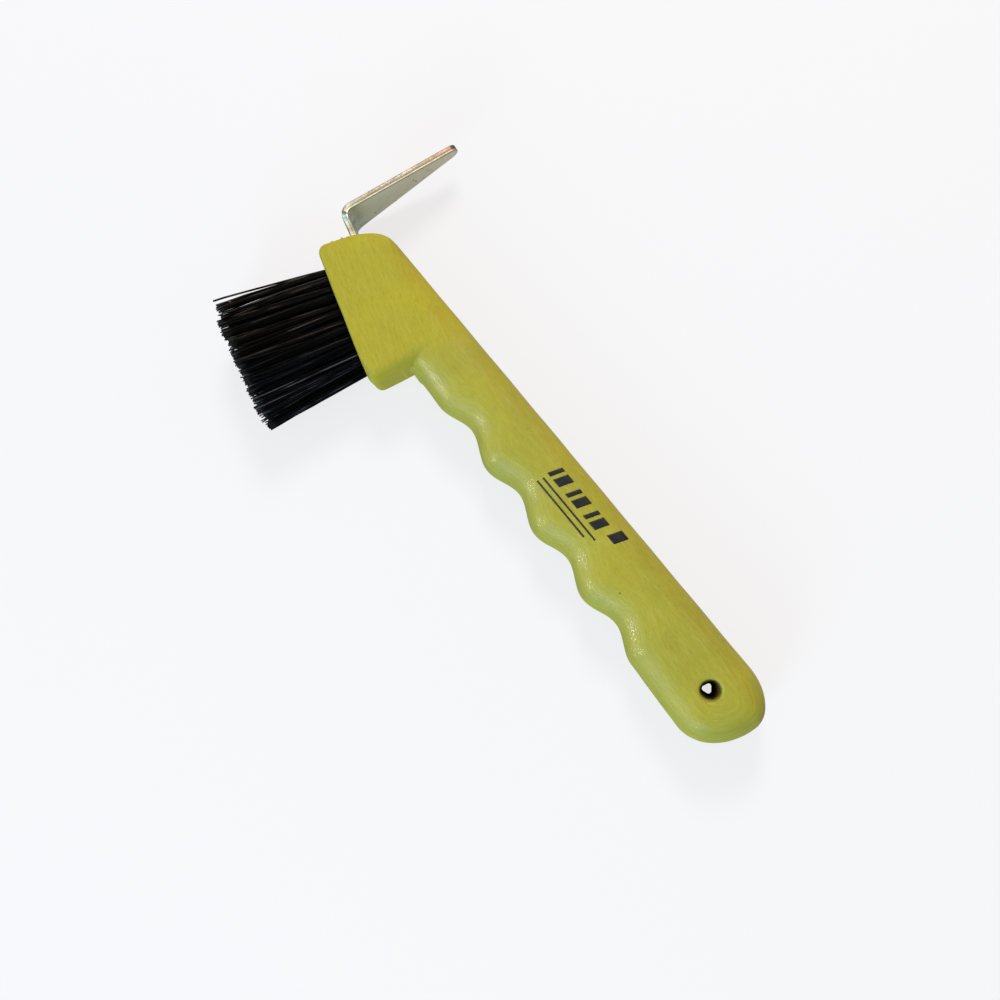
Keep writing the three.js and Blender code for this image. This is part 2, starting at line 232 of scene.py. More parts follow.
class DistanceTable:
    """Distances to an outline on a fine grid, read back as a smooth surface."""

    step = 0.3

    def __init__(self, outline):
        margin = 4.0
        self.low = HANDLE_LOW[:2] - margin
        counts = np.ceil((HANDLE_HIGH[:2] + margin - self.low) / self.step).astype(int) + 1
        axes = [self.low[i] + self.step * np.arange(counts[i]) for i in (0, 1)]
        x, y = np.meshgrid(*axes, indexing="ij")
        points = np.stack([x.ravel(), y.ravel()], 1)
        self.values = signed_distance(points, outline).reshape(counts)

    def __call__(self, x, y):
        place = [(x - self.low[0]) / self.step, (y - self.low[1]) / self.step]
        cells, weights = [], []
        for axis in (0, 1):
            cell = np.clip(np.floor(place[axis]).astype(int), 1, self.values.shape[axis] - 3)
            f = np.clip(place[axis] - cell, 0, 1)
            cells.append(cell)
            weights.append([
                (1 - f) ** 3 / 6,
                (3 * f ** 3 - 6 * f ** 2 + 4) / 6,
                (-3 * f ** 3 + 3 * f ** 2 + 3 * f + 1) / 6,
                f ** 3 / 6,
            ])
        total = 0
        for i in range(4):
            for j in range(4):
                read = self.values[cells[0] + i - 1, cells[1] + j - 1]
                total = total + weights[0][i] * weights[1][j] * read
        return total


grip_distance = DistanceTable(grip_outline())
head_distance = DistanceTable(head_outline())


# ---- The handle's surface as a function: negative inside, near to millimetres ----

def smooth_step(low, high, value):
    share = np.clip((value - low) / (high - low), 0, 1)
    return share * share * (3 - 2 * share)


def join(a, b, width):
    overlap = np.maximum(width - np.abs(a - b), 0) / width
    return np.minimum(a, b) - overlap ** 2 * width / 4


def cut(body, tool, width):
    return -join(-body, tool, width)


# Rounding between the broad sides and the outline
BACK_ROUNDING = 8               # of the grip
MORE_AT_FRONT = 3
LESS_AT_BUTT = 2.5              # on the front side only
END_ROUNDING = 2.8              # of the head
MORE_AT_NECK = 1.2
FACE_ROUNDING = 1.1             # where the head's rim meets the brush face
LOWER_ROUNDING = 1.6            # the most on the head's lower side

GRIP_FULLNESS = 2.6             # 2 is an ellipse across the grip, and more is squarer
LESS_FULL_AT_FRONT = 0.3
CROWN_FADE = (66, 80)           # along X, where the grip's crown goes flat inside the head

SURFACE_INSET = 0.12            # keeps the moulding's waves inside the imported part
HEAD_INSET_Z = 0.12
HEAD_SLOPE = 0.022              # the head's broad sides fall away towards the brush
HEAD_SLOPE_START = (42.5, 3.0)
HEAD_SLOPE_TURN = 0.25          # how far the fall also follows X
NECK_FILLET = 0.3
WAVE_HEIGHT = 0.035
RIPPLE_HEIGHT = 0.02


def rounded_slab(distance, z, rounding, half):
    """A flat plate with rounded rims, from the distance to its outline."""
    across = rounding - distance
    up = np.abs(z) - half + rounding
    outside = np.hypot(np.maximum(across, 0), np.maximum(up, 0))
    return outside + np.minimum(np.maximum(across, up), 0) - rounding


def grip_field(distance, x, y, z, half):
    """A crowned bar inside the grip's outline."""
    front = smooth_step(-2.5, 2.5, y)
    near_butt = 1 - smooth_step(BUTT_X - 4, BUTT_X + 20, x)
    rounding = BACK_ROUNDING + front * (MORE_AT_FRONT - LESS_AT_BUTT * near_butt)
    fullness = GRIP_FULLNESS - LESS_FULL_AT_FRONT * front
    side = np.maximum(0, 1 - distance / rounding)
    reach = (side ** fullness + np.abs(z / half) ** fullness) ** (1 / fullness)
    crowned = half * (reach - 1)
    at_end = smooth_step(*CROWN_FADE, x)
    return crowned + (rounded_slab(distance, z, END_ROUNDING, half) - crowned) * at_end


def head_field(distance, x, y, z, half):
    """A flat-sided block inside the head's outline, with a sharper rim along the brush face."""
    out = (x - FACE_ORIGIN[0]) * OUT[0] + (y - FACE_ORIGIN[1]) * OUT[1]
    along = (x - FACE_ORIGIN[0]) * ALONG[0] + (y - FACE_ORIGIN[1]) * ALONG[1]
    from_neck = along + FACE_TO_NECK
    rounding = END_ROUNDING + MORE_AT_NECK * (1 - smooth_step(2, 11, from_neck))
    near_face = smooth_step(-5.5, -1.0, out) * smooth_step(3, 9, from_neck)
    rounding = rounding + (FACE_ROUNDING - rounding) * near_face
    rounding = np.where(z < 0, np.minimum(rounding, LOWER_ROUNDING), rounding)
    start_x, start_y = HEAD_SLOPE_START
    towards_brush = np.clip(y - start_y + HEAD_SLOPE_TURN * (x - start_x), 0, 25)
    return rounded_slab(distance, z, rounding, half - HEAD_INSET_Z - HEAD_SLOPE * towards_brush)


COLLAR_WIDTH = 0.6              # beside the steel
COLLAR_HEIGHT = 0.22            # above the head's end
COLLAR_START = 3                # from the bend
COLLAR_FILLET = 0.5


def stem_collar(body, x, y, z):
    """Plastic drawn up round the stem where it leaves the head."""
    into = np.array([-math.cos(STEM_SLANT), math.sin(STEM_SLANT)])
    offset = (x - BEND[0]) * into[1] - (y - BEND[1]) * into[0]
    beyond = np.maximum(np.abs(offset) - STEEL / 2, np.abs(z) - TANG_WIDTH / 2)
    from_bend = (x - BEND[0]) * into[0] + (y - BEND[1]) * into[1]
    collar = np.maximum(beyond - COLLAR_WIDTH, body - COLLAR_HEIGHT)
    return join(body, np.maximum(collar, COLLAR_START - from_bend), COLLAR_FILLET)


# Lumps of flash along the head's end: place round the end arc in radians, height, radius
FLASH = [
    (-0.394, 6.2, 0.38),
    (-0.335, 5.6, 0.34),
    (-0.29, 6.4, 0.32),
    (-0.25, 5.6, 0.30),
]
FLASH_FILLET = 0.25
HOLE_RIM = 0.4                  # rounding at the mouths of the tuft holes
HANG_HOLE_RIM = 0.5
HANG_HOLE_RAGGEDNESS = 0.16     # of its radius, at the lower side


def flash_lumps(body, x, y, z):
    for angle, height, radius in FLASH:
        place = arc(END_ARC_CENTRE, END_ARC_RADIUS + 0.1 * radius, angle, angle, 1)[0]
        lump = np.sqrt((x - place[0]) ** 2 + (y - place[1]) ** 2 + (z - height) ** 2) - radius
        body = join(body, lump, FLASH_FILLET)
    return body


def tuft_hole(body, x, y, z, anchor):
    place = anchor - (0, 0, MIDDLE_Z)
    out = (x - FACE_ORIGIN[0]) * OUT[0] + (y - FACE_ORIGIN[1]) * OUT[1]
    along = (x - place[0]) * ALONG[0] + (y - place[1]) * ALONG[1]
    hole = np.maximum(np.hypot(along, z - place[2]) - HOLE_RADIUS, -HOLE_DEPTH - out)
    return cut(body, hole, HOLE_RIM)


def hang_hole(x, y, z):
    """A cone that gets three-sided and rough towards its narrow lower end."""
    low, high = HANG_HOLE_RADII
    rise = (z + HALF) / (2 * HALF)
    turn = np.arctan2(y - HANG_HOLE[1], x - HANG_HOLE[0])
    ragged = 1 - HANG_HOLE_RAGGEDNESS * (1 - rise) * np.cos(3 * turn + 0.6)
    radius = (low + (high - low) * rise) * ragged
    return np.hypot(x - HANG_HOLE[0], y - HANG_HOLE[1]) - radius


def unevenness(x, y, z):
    """The slight waves of a moulding that shrank as it cooled."""
    wave = np.sin(0.31 * x + 0.4 * np.sin(0.23 * y)) * np.sin(0.37 * y + 0.2 * z + 1.0)
    ripple = np.sin(0.83 * x + 1.7) * np.sin(0.71 * y - 0.5 * z)
    return WAVE_HEIGHT * wave + RIPPLE_HEIGHT * ripple


ANCHOR_PLACES = [middle_mm(f"anchor_{row}_{i + 1}") for row in ROWS for i in range(TUFTS_PER_ROW)]


def handle_field(x, y, z, distances=None):
    """z is measured from the middle of the handle's thickness."""
    grip, head = distances or (grip_distance(x, y), head_distance(x, y))
    half = HALF - SURFACE_INSET
    body = join(grip_field(grip, x, y, z, half), head_field(head, x, y, z, half), NECK_FILLET)
    body = body + unevenness(x, y, z)
    body = flash_lumps(stem_collar(body, x, y, z), x, y, z)
    for place in ANCHOR_PLACES:
        body = tuft_hole(body, x, y, z, place)
    return cut(body, hang_hole(x, y, z), HANG_HOLE_RIM)


def gradient(field, points):
    reach = 0.03
    slopes = []
    for axis in range(3):
        shift = np.zeros(3)
        shift[axis] = reach
        ahead = field(*(points + shift).T)
        behind = field(*(points - shift).T)
        slopes.append((ahead - behind) / (2 * reach))
    return np.stack(slopes, 1)


def onto_surface(field, points):
    """Moves each point to where the function is nought, by one short step."""
    longest_move = 0.3
    slope = gradient(field, points)
    steepness = np.maximum((slope ** 2).sum(1), 0.05)
    move = (field(*points.T) / steepness)[:, None] * slope
    length = np.linalg.norm(move, axis=1, keepdims=True)
    return points - move * np.minimum(1, longest_move / np.maximum(length, 1e-9))


# ---- A mesh from a function ----

def shell_of(values, low, step):
    """One point in each cell that the surface crosses, and one quad for each crossed edge."""
    inside = values < 0
    size = np.array(values.shape) - 1
    corners = [np.array(c) for c in np.ndindex(2, 2, 2)]
    window = [tuple(slice(c[a], c[a] + size[a]) for a in range(3)) for c in corners]
    count = sum(inside[w].astype(int) for w in window)
    active = (count > 0) & (count < 8)
    cells = np.argwhere(active)
    ids = np.full(size, -1)
    ids[active] = np.arange(len(cells))

    total = np.zeros((len(cells), 3))
    crossings = np.zeros((len(cells), 1))
    for first in corners:
        for axis in range(3):
            if first[axis]:
                continue
            second = first.copy()
            second[axis] = 1
            a = values[tuple((cells + first).T)]
            b = values[tuple((cells + second).T)]
            crossed = ((a < 0) != (b < 0))[:, None]
            share = (a / np.where(a == b, 1, a - b))[:, None]
            total += np.where(crossed, first + share * (second - first), 0)
            crossings += crossed
    points = low + (cells + total / crossings) * step

    quads = []
    for axis in range(3):
        b, c = (axis + 1) % 3, (axis + 2) % 3
        near = [slice(None)] * 3
        far = [slice(None)] * 3
        near[axis], far[axis] = slice(0, -1), slice(1, None)
        leaving = inside[tuple(near)] & ~inside[tuple(far)]
        entering = ~inside[tuple(near)] & inside[tuple(far)]
        for edges, order in ((leaving, (0, 1, 2, 3)), (entering, (3, 2, 1, 0))):
            at = np.argwhere(edges)
            ring = []
            for db, dc in ((1, 1), (0, 1), (0, 0), (1, 0)):
                cell = at.copy()
                cell[:, b] -= db
                cell[:, c] -= dc
                ring.append(ids[tuple(cell.T)])
            quads.append(np.stack([ring[i] for i in order], 1))
    return points, np.concatenate(quads)


def relaxed(points, quads):
    """Each point moves half way to the middle of its neighbours."""
    total = np.zeros_like(points)
    count = np.zeros(len(points))
    for i in range(4):
        a, b = quads[:, i], quads[:, (i + 1) % 4]
        for one, other in ((a, b), (b, a)):
            for axis in range(3):
                total[:, axis] += np.bincount(one, points[other, axis], len(points))
            count += np.bincount(one, minlength=len(points))
    return (points + total / count[:, None]) / 2


# ---- Objects ----

def add_piece(name, points, faces, material, replaced=()):
    """Makes a smooth-shaded mesh piece that rides on the part's one body."""
    mesh = bpy.data.meshes.new(name)
    mesh.from_pydata((np.asarray(points) * MM).tolist(), [], [list(map(int, f)) for f in faces])
    mesh.polygons.foreach_set("use_smooth", np.ones(len(mesh.polygons), bool))
    mesh.materials.append(material)
    mesh.update()
    piece = bpy.data.objects.new(name, mesh)
    bpy.context.scene.collection.objects.link(piece)
    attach(piece, BODY)
    if replaced:
        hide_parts(*replaced)
    return piece


def set_vectors(piece, name, values):
    layer = piece.data.attributes.new(name, "FLOAT_VECTOR", "POINT")
    layer.data.foreach_set("vector", np.asarray(values, np.float32).ravel())


def set_numbers(piece, name, values):
    layer = piece.data.attributes.new(name, "FLOAT", "POINT")
    layer.data.foreach_set("value", np.asarray(values, np.float32).ravel())


HEAD_FLOW_X = (NECK_X - 8, NECK_X + 3)      # where the head's flow and its painted lighter colour take over
BORE_SHADE = (3, 17)                        # depths between which painted shade darkens the hang hole


def build_handle(material):
    """The moulding's mesh, with the values that its material reads."""
    step = 0.45
    margin = 1.4
    low = HANDLE_LOW - margin - (0, 0, MIDDLE_Z)
    counts = np.ceil((HANDLE_HIGH - HANDLE_LOW + 2 * margin) / step).astype(int) + 1
    axes = [low[i] + step * np.arange(counts[i]) for i in range(3)]
    x, y, z = np.meshgrid(*axes, indexing="ij", sparse=True)
    flat_x, flat_y = np.broadcast_arrays(x, y)
    distances = grip_distance(flat_x, flat_y), head_distance(flat_x, flat_y)
    values = handle_field(x, y, z, distances)
    points, quads = shell_of(values, low, step)
    for _ in range(2):
        points = onto_surface(handle_field, relaxed(points, quads))
    points = onto_surface(handle_field, points)
    piece = add_piece(
        "handle_moulding", points + (0, 0, MIDDLE_Z), quads, material, ["handle"])
    x, y, z = points.T
    set_vectors(piece, "grip_flow", np.stack([x, grip_distance(x, y), z], 1))
    set_vectors(piece, "head_flow", np.stack([points @ ALONG, points @ OUT, z], 1))
    set_numbers(piece, "on_head", smooth_step(*HEAD_FLOW_X, x))
    in_hole = hang_hole(x, y, z) < 0.3
    set_numbers(piece, "in_bore", smooth_step(*BORE_SHADE, HALF - z) * in_hole)
    return piece


def closed_loft(rings):
    """Quads round a stack of equal rings, with the two end rings filled."""
    rings = np.asarray(rings)
    count, sides = rings.shape[:2]
    faces = []
    for i in range(count - 1):
        for j in range(sides):
            k = (j + 1) % sides
            faces.append([i * sides + j, i * sides + k, (i + 1) * sides + k, (i + 1) * sides + j])
    faces.append(list(range(sides))[::-1])
    faces.append([(count - 1) * sides + j for j in range(sides)])
    return rings.reshape(-1, 3), faces


def rounded_section(half_width, half_thickness, rounding, steps=4):
    """A rectangle with round corners, anticlockwise, as (across, through) pairs."""
    section = []
    signs = [(1, 1), (-1, 1), (-1, -1), (1, -1)]
    for quarter, (a, b) in enumerate(signs):
        for turn in np.linspace(0, np.pi / 2, steps) + quarter * np.pi / 2:
            section.append((
                a * (half_width - rounding) + rounding * math.cos(turn),
                b * (half_thickness - rounding) + rounding * math.sin(turn),
            ))
    return np.array(section)


def pick_line(distance):
    """Place and direction of the strip's mid-line: positive distances lie along the blade."""
    blade = np.array([-math.sin(BLADE_LEAN), -math.cos(BLADE_LEAN)])
    stem = np.array([-math.cos(STEM_SLANT), math.sin(STEM_SLANT)])
    opening = math.acos(blade @ stem)
    leg = BEND_RADIUS / math.tan(opening / 2)
    if distance >= leg:
        return BEND + blade * distance, blade
    if distance <= -leg:
        return BEND - stem * distance, -stem
    angle = distance / leg * (math.pi - opening) / 2
    inward, forward = unit(blade + stem), unit(blade - stem)
    centre = BEND + inward * BEND_RADIUS / math.sin(opening / 2)
    place = centre + BEND_RADIUS * (forward * math.sin(angle) - inward * math.cos(angle))
    return place, forward * math.cos(angle) + inward * math.sin(angle)


def pick_half_width(distance):
    if distance >= 0:
        half = (BLADE_WIDTH + (TIP_WIDTH - BLADE_WIDTH) * distance / BLADE_LENGTH) / 2
        past = 1 - (BLADE_LENGTH - distance) / (TIP_WIDTH / 2)
        return half * math.sqrt(max(0, 1 - max(0, past) ** 2))
    narrowed = smooth_step(0, SHOULDER_LENGTH, -distance)
    return (BLADE_WIDTH + (TANG_WIDTH - BLADE_WIDTH) * narrowed) / 2


BLADE_TWIST = 0.064             # the blade's far edge leans towards the grip
BLADE_SWAY = 0.029              # and all of it moves back, by this share of its half width
BEND_SPAN = 2.6                 # along the strip, to either side of the bend's middle
STRIP_ROUNDING = 0.2
TIP_TURN = 1.54                 # just short of a quarter turn, so that the tip keeps some width


def build_pick(material):
    """One strip from the tang's hidden end to the blade's round tip."""
    tip_start = BLADE_LENGTH - TIP_WIDTH / 2
    round_tip = tip_start + (BLADE_LENGTH - tip_start) * np.sin(np.linspace(0, TIP_TURN, 16))
    stations = np.concatenate([
        np.linspace(-TANG_LENGTH, -SHOULDER_LENGTH, 14)[:-1],
        np.linspace(-SHOULDER_LENGTH, -BEND_SPAN, 20)[:-1],
        np.linspace(-BEND_SPAN, BEND_SPAN, 26)[:-1],
        np.linspace(BEND_SPAN, tip_start, 50)[:-1],
        round_tip,
    ])
    rings, reach, through, half_widths = [], [], [], []
    for station in stations:
        place, direction = pick_line(station)
        half_width = pick_half_width(station)
        rounding = min(STRIP_ROUNDING, half_width * 0.8)
        section = rounded_section(half_width, STEEL / 2, rounding)
        normal = np.array([-direction[1], direction[0]])
        lean = BLADE_TWIST * section[:, :1] - BLADE_SWAY * half_width
        flat = place + (section[:, 1:] + lean * smooth_step(-2.5, 2.5, station)) * normal
        rings.append(np.column_stack([flat, section[:, 0]]))
        reach += [station] * len(section)
        through += list(section[:, 1])
        half_widths += [half_width] * len(section)
    points, faces = closed_loft(rings)
    piece = add_piece("pick_blade", points + (0, 0, MIDDLE_Z), faces, material, ["pick"])
    set_vectors(piece, "strip", np.column_stack([reach, points[:, 2], through]))
    set_numbers(piece, "half_width", half_widths)
    return piece


# ---- Bristles ----

FILAMENT_RADIUS = 0.19
FILAMENTS_PER_TUFT = 34         # each is folded in two, so it shows two ends
BUNDLE_RADIUS = 1.4             # where the filaments' mid-lines leave the hole
LOOP_GAP = 0.64                 # between the two halves of a tuft, on either side of the staple
FOLD_DEPTHS = (6.9, 7.6)
GOLDEN_ANGLE = 2.399963
HEIGHTS = np.array([-5.2, 0.0, 5.0, 11.0, 17.0, 23.0, 28.0, 31.0])     # above the brush face

# Lengths are shares of the tuft's own. Bow, hook and wiggle are in millimetres
TUFT_LENGTH_SPREAD = 0.008
LENGTH_SPREAD = 0.006
LONGEST = 1.015
SHORT_SHARE = 0.08              # of the filaments
SHORT_BY = (0.02, 0.08)
FANNING = 0.75                  # spread of the tips, as a share of the bundle's radius
BOW = 0.40
STRAY_SHARE = 0.03
STRAY_BOW = 3.0                 # times the usual bow
HOOK = 0.9
HOOK_SHARE = 0.05
WIGGLE = 0.04

# The tuft of each row at the head's end is a little shorter, and bows towards the next one
END_TUFT_SHORTER = 0.05
END_TUFT_BOW = 1.6
LOOSE_BOW = 0.45                # share of that bow which the loose filaments at its edge have
LOOSE_SPACING = (0.15, 0.25)    # up and along, from one loose filament to the next


def bundle_places(count, radius):
    """Places spread evenly over a disc."""
    turn = np.arange(count) * GOLDEN_ANGLE
    reach = radius * np.sqrt((np.arange(count) + 0.5) / count)
    return np.stack([reach * np.cos(turn), reach * np.sin(turn)], 1)


def tuft_ends(node):
    """Root and tip of a tuft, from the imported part's own mesh."""
    points = vertices_mm(node)
    rise = (points - FACE_ORIGIN) @ OUT
    tip = points[rise > rise.max() - 0.05].mean(0)
    root = points[np.abs(rise) < 0.4].mean(0)
    return root, tip


def filament_lengths(count, shorter, rng):
    """Each filament's length as a share of the tuft's."""
    reach = 1.0 + rng.normal(0, TUFT_LENGTH_SPREAD) + rng.normal(0, LENGTH_SPREAD, (count, 1))
    short = rng.random((count, 1)) < SHORT_SHARE
    reach = np.where(short, reach - rng.uniform(*SHORT_BY, (count, 1)), reach)
    return np.minimum(reach, LONGEST) - shorter


def half_paths(places, root, tip, shorter, pulled_in, rng):
    """Paths of straight filaments from the hole to their tips, one row of points for each."""
    count = len(places)
    length = np.linalg.norm(tip - root)
    top = (tip - root) @ OUT
    lean = (tip - root) / top
    reach = filament_lengths(count, shorter, rng)
    rise = np.where(HEIGHTS > 0, HEIGHTS * top / HEIGHTS[-1] * reach, HEIGHTS)
    up = np.clip(rise / length, 0, None)
    bow = rng.normal(0, BOW, (count, 2))
    stray = rng.random((count, 1)) < STRAY_SHARE
    bow = np.where(stray, bow * STRAY_BOW, bow)
    bow[:, 0] -= END_TUFT_BOW * pulled_in
    hook = rng.normal(0, HOOK, (count, 2)) * (rng.random((count, 1)) < HOOK_SHARE)
    wiggle = rng.normal(0, WIGGLE, (count, len(HEIGHTS), 2)) * (up[..., None] > 0)
    flat = places[:, None, :] * (1 + FANNING * up ** 0.9)[..., None] + wiggle
    flat = flat + bow[:, None, :] * (up ** 2)[..., None]
    flat = flat + hook[:, None, :] * (up ** 14)[..., None]
    above = np.clip(rise, 0, None)[..., None]
    below = np.clip(rise, None, 0)[..., None]
    centre = root + lean * above + OUT * below
    return centre + flat[..., :1] * ALONG + flat[..., 1:] * np.array([0, 0, 1.0])


def folded_paths(root, tip, at_end, loose_count, rng):
    """Filaments folded in two under the staple. A tuft at the head's end bows towards the next
    one, and `loose_count` filaments, side by side at its outer edge, bow less."""
    places = bundle_places(2 * FILAMENTS_PER_TUFT, BUNDLE_RADIUS)
    places = places + rng.normal(0, 0.04, places.shape)
    places = places[np.argsort(places[:, 0])]
    lower = places[:FILAMENTS_PER_TUFT] - (LOOP_GAP / 2, 0)
    upper = places[FILAMENTS_PER_TUFT:] + (LOOP_GAP / 2, 0)
    upper = upper[rng.permutation(FILAMENTS_PER_TUFT)]
    loose = np.argsort(-upper[:, 0])[:loose_count]
    pulled_in = np.full(FILAMENTS_PER_TUFT, float(at_end))
    shorter = END_TUFT_SHORTER * at_end
    down = half_paths(lower, root, tip, shorter, pulled_in, rng)[:, ::-1]
    pulled_in[loose] = LOOSE_BOW
    up = half_paths(upper, root, tip, shorter, pulled_in, rng)
    for i, path in enumerate(loose):
        up[path] = up[loose[0]] + (0, 0, LOOSE_SPACING[0] * i) - LOOSE_SPACING[1] * i * ALONG
    fold_depth = rng.uniform(*FOLD_DEPTHS, (FILAMENTS_PER_TUFT, 1, 1))
    share = np.array([0.15, 0.5, 0.85])[None, :, None]
    fold = down[:, -1:] * (1 - share) + up[:, :1] * share
    depth = ((fold - root) @ OUT)[..., None]
    sag = 1 - (2 * share - 1) ** 2 * 0.5
    fold = fold + OUT * (-fold_depth * sag + depth * (sag - 1))
    paths = np.concatenate([down, fold, up], 1)
    paths[..., 2] = np.maximum(paths[..., 2], FILAMENT_RADIUS)
    return paths


def tubes(paths, radius, sides=6):
    """Closed tubes along many paths at once."""
    never_along_a_path = np.array([0.12, 0.21, 0.97])
    count, steps = paths.shape[:2]
    direction = np.gradient(paths, axis=1)
    direction /= np.linalg.norm(direction, axis=2, keepdims=True)
    level = np.cross(direction, never_along_a_path)
    level /= np.linalg.norm(level, axis=2, keepdims=True)
    other = np.cross(direction, level)
    turn = np.arange(sides) * 2 * np.pi / sides
    ring = level[:, :, None] * np.cos(turn)[:, None] + other[:, :, None] * np.sin(turn)[:, None]
    points = paths[:, :, None] + radius * ring
    ids = np.arange(count * steps * sides).reshape(count, steps, sides)
    after = np.roll(ids, -1, axis=2)
    quads = np.stack([ids[:, :-1], after[:, :-1], after[:, 1:], ids[:, 1:]], -1).reshape(-1, 4)
    caps = list(ids[:, 0, ::-1]) + list(ids[:, -1])
    return points.reshape(-1, 3), list(quads) + caps


def build_tuft(label, material, at_end, loose_count, rng):
    root, tip = tuft_ends(f"tuft_{label}")
    paths = folded_paths(root, tip, at_end, loose_count, rng)
    points, faces = tubes(paths, FILAMENT_RADIUS)
    piece = add_piece(
        f"bristles_{label}", points, faces, material, [f"tuft_{label}"])
    per_strand = len(points) // len(paths)
    strand = np.repeat(rng.random(len(paths)), per_strand)
    rise = (points - FACE_ORIGIN) @ OUT
    set_vectors(piece, "strand", np.column_stack([strand, rise, points @ ALONG]))
    return piece


STAPLE_HALF_THICKNESS = 0.225
STAPLE_HALF_HEIGHT = 0.9
STAPLE_ROUNDING = 0.2
STAPLE_END = ((1.9, 1), (2.1, 0.9), (2.2, 0.6))    # height from its middle, and size there


def build_staple(label, material):
    """The flattened wire that a tuft is folded over."""
    place = middle_mm(f"anchor_{label}")
    rings = []
    for z, shrink in [(-z, shrink) for z, shrink in STAPLE_END[::-1]] + list(STAPLE_END):
        half_sizes = STAPLE_HALF_THICKNESS * shrink, STAPLE_HALF_HEIGHT * shrink
        section = rounded_section(*half_sizes, STAPLE_ROUNDING * shrink)
        flat = section[:, :1] * ALONG + section[:, 1:] * OUT
        rings.append(place + flat + (0, 0, z))
    points, faces = closed_loft(rings)
    return add_piece(f"staple_{label}", points, faces, material, [f"anchor_{label}"])


# ---- Generic print on the grip: a row of slanted blocks beside two thin bars ----

INK_HEIGHT = 0.05               # above the plastic
INK_DEPTH = 0.1                 # into the plastic
INK_STEP = 0.35                 # between the points of an ink patch
BLOCK_WIDTHS = (2.6, 1.3, 2.6, 1.3, 2.6, 1.3)
BLOCKS_START = -22.3
BLOCK_PITCH = 3.7
BLOCK_SLANT = 0.35


def print_height(x, y):
    """Height of the grip's upper side, found by Newton's method."""
    rise = 0.02
    z = np.full(x.shape, HALF)
    for _ in range(5):
        value = handle_field(x, y, z)
        slope = (handle_field(x, y, z + rise) - value) / rise
        z = z - value / np.maximum(slope, 0.2)
    return z


def ink_patch(x_low, x_high, y_low, y_high, slant):
    """A thin slab that follows the surface, a little proud of it and a little into it."""
    columns = max(3, int((x_high - x_low) / INK_STEP) + 2)
    rows = max(3, int((y_high - y_low) / INK_STEP) + 2)
    axes = np.linspace(x_low, x_high, columns), np.linspace(y_low, y_high, rows)
    x, y = np.meshgrid(*axes, indexing="ij")
    x = x + (y - y_low) * slant
    z = print_height(x, y) + MIDDLE_Z
    top = np.stack([x, y, z + INK_HEIGHT], -1).reshape(-1, 3)
    bottom = np.stack([x, y, z - INK_DEPTH], -1).reshape(-1, 3)
    ids = np.arange(columns * rows).reshape(columns, rows)
    quads = np.stack([ids[:-1, :-1], ids[1:, :-1], ids[1:, 1:], ids[:-1, 1:]], -1).reshape(-1, 4)
    under = quads[:, ::-1] + columns * rows
    rim = np.concatenate([ids[:-1, 0], ids[-1, :-1], ids[:0:-1, -1], ids[0, :0:-1]])
    rim_next = np.roll(rim, -1)
    sides = np.stack([rim, rim + columns * rows, rim_next + columns * rows, rim_next], 1)
    return np.concatenate([top, bottom]), np.concatenate([quads, under, sides])


def build_print(material):
    """Each patch is given by its two ends in x, its two ends in y, and its slant."""
    patches = []
    for i, width in enumerate(BLOCK_WIDTHS):
        start = BLOCKS_START + BLOCK_PITCH * i
        patches.append((start, start + width, -2.9, 1.1, BLOCK_SLANT))
    patches.append((-23.0, -1.4, 2.5, 3.0, 0))
    patches.append((-20.4, -1.0, 4.2, 4.7, 0))
    patches.append((-28.4, -25.4, -4.4, -0.4, BLOCK_SLANT))
    points, faces, total = [], [], 0
    for patch in patches:
        corners, quads = ink_patch(*patch)
        points.append(corners)
        faces.append(quads + total)
        total += len(corners)
    return add_piece("grip_print", np.concatenate(points), np.concatenate(faces), material)


# ---- Materials ----

def srgb(red, green, blue):
    """An sRGB colour, 0 to 255, as the linear colour that a node wants."""
    channels = [c / 255 for c in (red, green, blue)]
    linear = [c / 12.92 if c < 0.04045 else ((c + 0.055) / 1.055) ** 2.4 for c in channels]
    return (*linear, 1.0)


